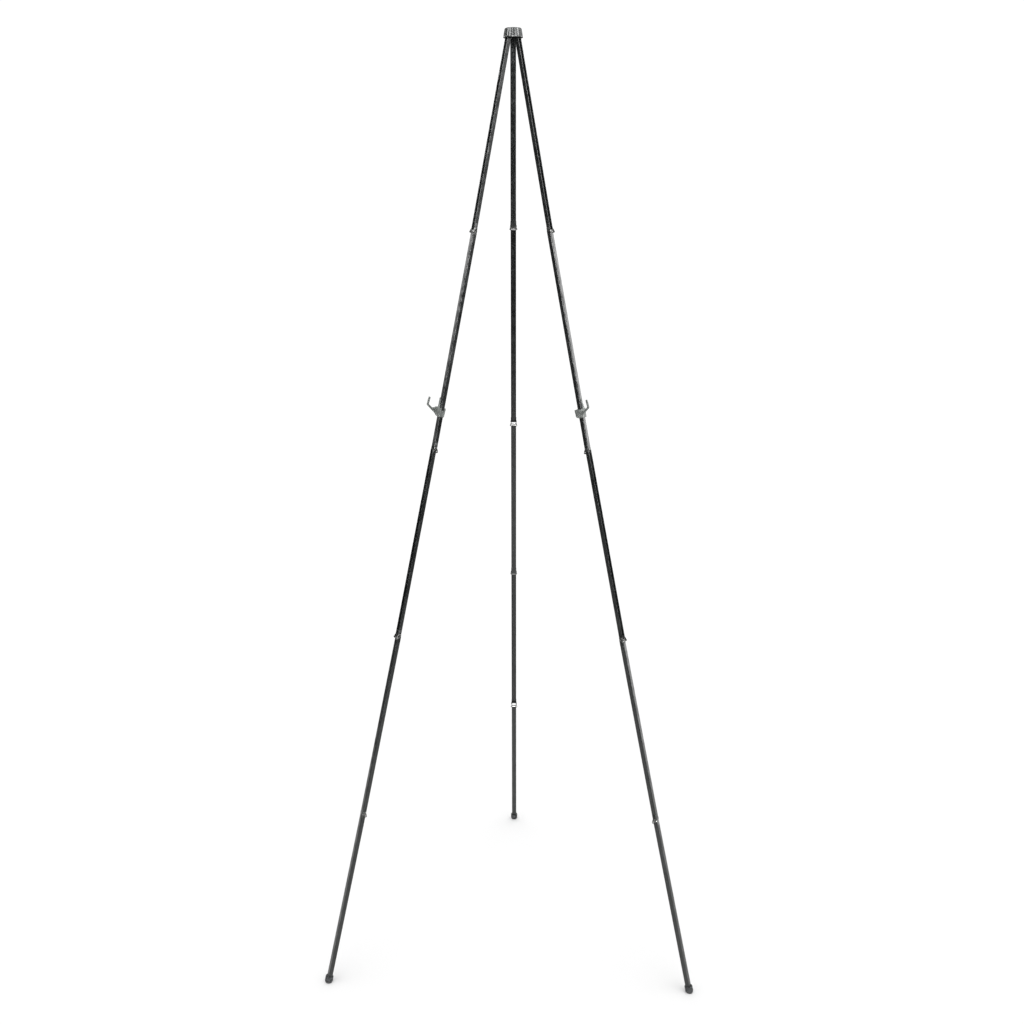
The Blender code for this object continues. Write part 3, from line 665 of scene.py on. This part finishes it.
class Material:
    """A Principled material with short calls for the nodes that feed it."""

    def __init__(self, name, colour, roughness, metallic=0.0, coat=0.0, coat_roughness=0.1, ior=1.5):
        self.data = bpy.data.materials.new(name)
        self.data.use_nodes = True
        self.nodes = self.data.node_tree.nodes
        self.links = self.data.node_tree.links
        self.shader = self.nodes["Principled BSDF"]
        self.set("Base Color", (*colour, 1.0))
        self.set("Roughness", roughness)
        self.set("Metallic", metallic)
        self.set("Coat Weight", coat)
        self.set("Coat Roughness", coat_roughness)
        self.set("IOR", ior)
        self.place = self.add("ShaderNodeTexCoord").outputs["Object"]
        self.random = self.add("ShaderNodeObjectInfo").outputs["Random"]
        self.bump = None

    def set(self, socket, value):
        self.shader.inputs[socket].default_value = value

    def add(self, kind, **inputs):
        made = self.nodes.new(kind)
        for key, value in inputs.items():
            made.inputs[key.replace("_", " ")].default_value = value
        return made

    def noise(self, scale, stretch=1.0, detail=3.0, roughness=0.5, offset=0.0):
        """Noise of so many features in a metre, drawn out along Z by stretch."""
        mapping = self.add("ShaderNodeMapping", Scale=(1.0, 1.0, 1.0 / stretch), Location=(offset, 0.0, 0.0))
        texture = self.add("ShaderNodeTexNoise", Scale=scale, Detail=detail, Roughness=roughness)
        texture.noise_dimensions = "4D"
        scaled = self.math("MULTIPLY", self.random, 7.0)
        self.links.new(self.place, mapping.inputs["Vector"])
        self.links.new(mapping.outputs["Vector"], texture.inputs["Vector"])
        self.links.new(scaled, texture.inputs["W"])
        return texture.outputs["Fac"]

    def math(self, operation, first, second):
        made = self.nodes.new("ShaderNodeMath")
        made.operation = operation
        for socket, value in zip(made.inputs, (first, second)):
            if isinstance(value, (int, float)):
                socket.default_value = value
            else:
                self.links.new(value, socket)
        return made.outputs[0]

    def ranged(self, value, low, high, to_low, to_high):
        made = self.add("ShaderNodeMapRange", From_Min=low, From_Max=high, To_Min=to_low, To_Max=to_high)
        self.links.new(value, made.inputs["Value"])
        return made.outputs["Result"]

    def ramp(self, value, low, high, dark, light):
        made = self.nodes.new("ShaderNodeValToRGB")
        made.color_ramp.elements[0].position = low
        made.color_ramp.elements[1].position = high
        made.color_ramp.elements[0].color = (*dark, 1.0)
        made.color_ramp.elements[1].color = (*light, 1.0)
        self.links.new(value, made.inputs["Fac"])
        return made.outputs["Color"]

    def mix(self, share, first, second):
        made = self.nodes.new("ShaderNodeMix")
        made.data_type = "RGBA"
        sockets = (made.inputs["Factor"], made.inputs[6], made.inputs[7])
        for socket, value in zip(sockets, (share, first, second)):
            if isinstance(value, tuple):
                socket.default_value = (*value, 1.0)
            else:
                self.links.new(value, socket)
        return made.outputs[2]

    def attribute(self, name):
        made = self.nodes.new("ShaderNodeAttribute")
        made.attribute_name = name
        return made.outputs["Fac"]

    def link(self, value, socket):
        self.links.new(value, self.shader.inputs[socket])

    def add_bump(self, height, distance, strength=1.0):
        """Adds a bump layer of that height in metres on top of the ones before."""
        made = self.add("ShaderNodeBump", Strength=strength, Distance=distance)
        self.links.new(height, made.inputs["Height"])
        if self.bump:
            self.links.new(self.bump, made.inputs["Normal"])
        self.bump = made.outputs["Normal"]
        self.links.new(self.bump, self.shader.inputs["Normal"])


def black_paint():
    """Gloss black enamel on pressed steel: rolled ripples, orange peel, and bare metal where it rubs."""
    made = Material("black_paint", (0.018, 0.020, 0.020), 0.25, coat=0.12, coat_roughness=0.12)
    patches = made.noise(70.0, stretch=2.0)
    ripple = made.noise(60.0, stretch=1.6, detail=1.0, offset=3.0)
    streaks = made.noise(210.0, stretch=3.5, detail=1.0, offset=6.0)
    peel = made.noise(1500.0, detail=2.0)
    chips = made.noise(850.0, detail=4.0, roughness=0.65, offset=9.0)
    worn = made.math("MULTIPLY", made.attribute("wear"), 0.29)
    bare = made.ranged(made.math("ADD", chips, worn), 0.80, 0.86, 0.0, 1.0)
    paint = made.ramp(patches, 0.3, 0.7, (0.008, 0.009, 0.009), (0.019, 0.021, 0.021))
    made.link(made.mix(bare, paint, (0.30, 0.30, 0.29)), "Base Color")
    made.link(bare, "Metallic")
    made.link(made.ranged(patches, 0.3, 0.7, 0.26, 0.38), "Roughness")
    made.add_bump(ripple, 1.5 * MM)
    made.add_bump(streaks, 1.2 * MM)
    made.add_bump(peel, 0.008 * MM, 0.3)
    made.add_bump(bare, -0.03 * MM, 0.6)
    return made.data


def blackened_steel():
    """Blackened rivet steel, dulled in patches and finely scratched."""
    made = Material("blackened_rivet", (0.16, 0.16, 0.16), 0.3, metallic=1.0)
    stain = made.noise(600.0)
    scratch = made.noise(5200.0, stretch=0.12, detail=2.0)
    made.link(made.ramp(stain, 0.35, 0.7, (0.10, 0.10, 0.10), (0.30, 0.30, 0.29)), "Base Color")
    made.link(made.ranged(stain, 0.3, 0.7, 0.42, 0.24), "Roughness")
    made.add_bump(scratch, 0.008 * MM, 0.4)
    return made.data


def moulded_plastic(name, dark, light, roughness, grain):
    """Moulded plastic with a fine spark-eroded grain, rubbed smoother in patches."""
    made = Material(name, light, roughness)
    clouds = made.noise(160.0)
    texture = made.noise(4200.0, detail=2.0)
    rubbed = made.noise(420.0, detail=4.0, roughness=0.6, offset=5.0)
    made.link(made.ramp(clouds, 0.3, 0.72, dark, light), "Base Color")
    made.link(made.ranged(rubbed, 0.35, 0.7, roughness - 0.06, roughness + 0.1), "Roughness")
    made.add_bump(texture, grain, 0.5)
    made.add_bump(rubbed, 0.02 * MM, 0.25)
    return made.data


def rubber():
    """Matt rubber, dusty and scuffed paler towards the sole."""
    made = Material("foot_rubber", (0.020, 0.021, 0.023), 0.78)
    clouds = made.noise(240.0)
    grit = made.noise(2600.0, detail=5.0, roughness=0.7)
    dust = made.math("MULTIPLY", made.attribute("wear"), made.ranged(grit, 0.4, 0.65, 0.0, 0.55))
    skin_colour = made.ramp(clouds, 0.3, 0.7, (0.014, 0.015, 0.016), (0.027, 0.029, 0.031))
    made.link(made.mix(dust, skin_colour, (0.12, 0.118, 0.11)), "Base Color")
    made.link(made.ranged(grit, 0.3, 0.7, 0.68, 0.88), "Roughness")
    made.add_bump(grit, 0.03 * MM, 0.5)
    return made.data


# ---------------------------------------------------------------- assembly

def build_legs(paint, metal, tread, grey):
    """Every leg's sections, rivets, foot and board holder; the legs share their meshes."""
    sections = {}
    rivet = rivet_mesh()
    first_leg = leg_frames(LEGS[0])
    last_place, last_length = first_leg[-1]
    to_local = last_place.inverted()
    foot = foot_mesh(last_length, to_local @ Vector((0.0, 0.0, 0.0)),
                     to_local.to_3x3() @ Vector((0.0, 0.0, 1.0)))
    holder = holder_mesh()
    for number, (_, length) in enumerate(first_leg, start=1):
        sections[number] = section_mesh(number, length)
    reversed_end = section_mesh(SECTIONS, last_length, reversed_end=True)
    for leg in LEGS:
        for number, (place, length) in enumerate(leg_frames(leg), start=1):
            body = f"{leg}_section_{number}"
            node = f"{leg}_leg_section_{number}"
            mesh = reversed_end if number == SECTIONS and leg in REVERSED_ENDS else sections[number]
            place_piece(f"{leg}_channel_{number}", mesh, place, paint, body, node)
            if number == SECTIONS:
                place_piece(f"{leg}_rubber_foot", foot, place, tread, body, f"{leg}_foot")
                continue
            pivot = place @ Matrix.Translation((fold_side(number) * PIVOT_OFFSET, 0.0, -length))
            place_piece(f"{leg}_rivet_{number}", rivet, pivot @ ALONG_Y, metal, body,
                        f"{leg}_knee_rivet_{number}")
            if number == HOLDER_SECTION and leg in HOLDER_LEGS:
                seat = place @ Matrix.Translation((0.0, 0.0, -length + HOLDER_RISE))
                place_piece(f"{leg}_moulded_holder", holder, seat, grey, f"{leg}_holder",
                            f"{leg}_board_holder")


def build_top(plastic, metal):
    """The cap, the hub in it and the three hinge pins."""
    hinges = [joint_place(f"{leg}_leg_hinge") for leg in LEGS]
    centre = Matrix.Translation(sum(hinges, Vector()) / len(hinges))
    place_piece("fluted_cap", cap_mesh(), centre, plastic, "hub", "top_cap")
    place_piece("slotted_hub", hub_mesh(), centre, plastic, "hub", "hub")
    pin = pin_mesh()
    for leg in LEGS:
        place = leg_frames(leg)[0][0] @ ALONG_Y
        place_piece(f"{leg}_hinge_pin", pin, place, metal, "hub", f"{leg}_hub_pin")


# ---------------------------------------------------------------- studio

CAMERA_AZIMUTH = -0.0218                  # radians off the front, from the easel's axis
CAMERA_DISTANCE = 1.8827
CAMERA_HEIGHT = 1.3491
CAMERA_PAN = -0.0225
CAMERA_PITCH = 0.2336
CAMERA_ROLL = -0.002
CAMERA_LENS = 39.85
CAMERA_SHIFT = (0.0245, -0.0533)
FLOOR_RADIUS = 1.5                        # what the lower sections mirror; the camera sees white beyond it
FLOOR_DROP = 0.05 * MM
FLOOR_WHITE = (0.90, 0.90, 0.90)
SUN_ENERGY = 0.68
SUN_ANGLE = 24.0                          # degrees across, for soft contact shadows
SUN_TILT = (3.0, 2.0)                     # degrees about X and Y
WALL_LIGHT = 0.05
FILL_LIGHT = 0.93
BACKDROP_LIGHT = 1.05
# Azimuth from the front towards +X, inner and outer half-width, then the elevations between which
# the lamp comes up, all in degrees, and its strength
LAMPS = ((4.0, 8.0, 26.0, 3.0, 12.0, 22.0),
         (120.0, 10.0, 30.0, -22.0, -6.0, 4.0),
         (60.0, 8.0, 24.0, 0.0, 14.0, 5.0),
         (-120.0, 8.0, 26.0, 0.0, 16.0, 5.0))


def add_camera():
    """The camera, placed from the easel's own axis."""
    hinges = [joint_place(f"{leg}_leg_hinge") for leg in LEGS]
    axis = sum(hinges, Vector()) / len(hinges)
    data = bpy.data.cameras.new("camera")
    data.lens = CAMERA_LENS
    data.shift_x, data.shift_y = CAMERA_SHIFT
    camera = bpy.data.objects.new("camera", data)
    bpy.context.scene.collection.objects.link(camera)
    place = Vector((axis.x - CAMERA_DISTANCE * math.sin(CAMERA_AZIMUTH),
                    axis.y - CAMERA_DISTANCE * math.cos(CAMERA_AZIMUTH), CAMERA_HEIGHT))
    turn = Matrix.Rotation(-(CAMERA_AZIMUTH + CAMERA_PAN), 4, "Z")
    tilt = Matrix.Rotation(math.pi / 2 - CAMERA_PITCH, 4, "X")
    roll = Matrix.Rotation(CAMERA_ROLL, 4, "Z")
    camera.matrix_world = Matrix.Translation(place) @ turn @ tilt @ roll
    bpy.context.scene.camera = camera


def add_floor():
    """A wide white floor, just under the soles."""
    def maker(bm):
        bmesh.ops.create_circle(bm, cap_ends=True, segments=96, radius=FLOOR_RADIUS)
    floor = scratch_object("studio_floor", maker)
    floor.location.z = -FLOOR_DROP
    finish = Material("studio_white", FLOOR_WHITE, 0.9)
    finish.set("Specular IOR Level", 0.0)
    floor.data.materials.append(finish.data)


def add_world():
    """White for the camera, an even fill for matt surfaces, and soft window lamps for glossy ones."""
    world = bpy.data.worlds.new("studio")
    bpy.context.scene.world = world
    world.use_nodes = True
    nodes, links = world.node_tree.nodes, world.node_tree.links
    nodes.clear()

    def join(operation, first, second):
        made = nodes.new("ShaderNodeMath")
        made.operation = operation
        for socket, value in zip(made.inputs, (first, second)):
            if isinstance(value, float):
                socket.default_value = value
            else:
                links.new(value, socket)
        return made.outputs[0]

    def window(value, closed, opened, strength=1.0):
        made = nodes.new("ShaderNodeMapRange")
        made.interpolation_type = "SMOOTHSTEP"
        made.inputs["From Min"].default_value = closed
        made.inputs["From Max"].default_value = opened
        made.inputs["To Max"].default_value = strength
        links.new(value, made.inputs["Value"])
        return made.outputs["Result"]

    def background(strength):
        made = nodes.new("ShaderNodeBackground")
        made.inputs["Color"].default_value = (1.0, 1.0, 1.0, 1.0)
        if isinstance(strength, float):
            made.inputs["Strength"].default_value = strength
        else:
            links.new(strength, made.inputs["Strength"])
        return made.outputs[0]

    direction = nodes.new("ShaderNodeTexCoord").outputs["Generated"]
    parts = nodes.new("ShaderNodeSeparateXYZ")
    links.new(direction, parts.inputs[0])
    flatten = nodes.new("ShaderNodeVectorMath")
    flatten.operation = "MULTIPLY"
    flatten.inputs[1].default_value = (1.0, 1.0, 0.0)
    links.new(direction, flatten.inputs[0])
    heading = nodes.new("ShaderNodeVectorMath")
    heading.operation = "NORMALIZE"
    links.new(flatten.outputs[0], heading.inputs[0])
    total = None
    for azimuth, inner, outer, low, high, strength in LAMPS:
        facing = nodes.new("ShaderNodeVectorMath")
        facing.operation = "DOT_PRODUCT"
        turn = math.radians(azimuth)
        facing.inputs[1].default_value = (math.sin(turn), -math.cos(turn), 0.0)
        links.new(heading.outputs[0], facing.inputs[0])
        width = window(facing.outputs["Value"], math.cos(math.radians(outer)),
                       math.cos(math.radians(inner)), strength)
        height = window(parts.outputs["Z"], math.sin(math.radians(low)), math.sin(math.radians(high)))
        lamp = join("MULTIPLY", width, height)
        total = lamp if total is None else join("ADD", total, lamp)
    lamps = background(join("ADD", total, WALL_LIGHT))
    rays = nodes.new("ShaderNodeLightPath")
    indirect = nodes.new("ShaderNodeMixShader")
    links.new(rays.outputs["Is Glossy Ray"], indirect.inputs[0])
    links.new(background(FILL_LIGHT), indirect.inputs[1])
    links.new(lamps, indirect.inputs[2])
    either = nodes.new("ShaderNodeMixShader")
    links.new(rays.outputs["Is Camera Ray"], either.inputs[0])
    links.new(indirect.outputs[0], either.inputs[1])
    links.new(background(BACKDROP_LIGHT), either.inputs[2])
    output = nodes.new("ShaderNodeOutputWorld")
    links.new(either.outputs[0], output.inputs["Surface"])


def add_sun():
    """One wide soft lamp overhead, which whitens the floor and lays soft contact shadows."""
    data = bpy.data.lights.new("overhead", "SUN")
    data.energy = SUN_ENERGY
    data.angle = math.radians(SUN_ANGLE)
    lamp = bpy.data.objects.new("overhead", data)
    lamp.rotation_euler = (math.radians(SUN_TILT[0]), math.radians(SUN_TILT[1]), 0.0)
    bpy.context.scene.collection.objects.link(lamp)


# ---------------------------------------------------------------- the scene

metal = blackened_steel()
cap_plastic = moulded_plastic("cap_plastic", (0.014, 0.016, 0.015), (0.030, 0.033, 0.032), 0.26, 0.008 * MM)
holder_plastic = moulded_plastic("holder_plastic", (0.125, 0.136, 0.128), (0.19, 0.203, 0.194),
                                 0.5, 0.02 * MM)
build_legs(black_paint(), metal, rubber(), holder_plastic)
build_top(cap_plastic, metal)
add_camera()
add_floor()
add_world()
add_sun()
bpy.context.scene.view_settings.view_transform = "Standard"
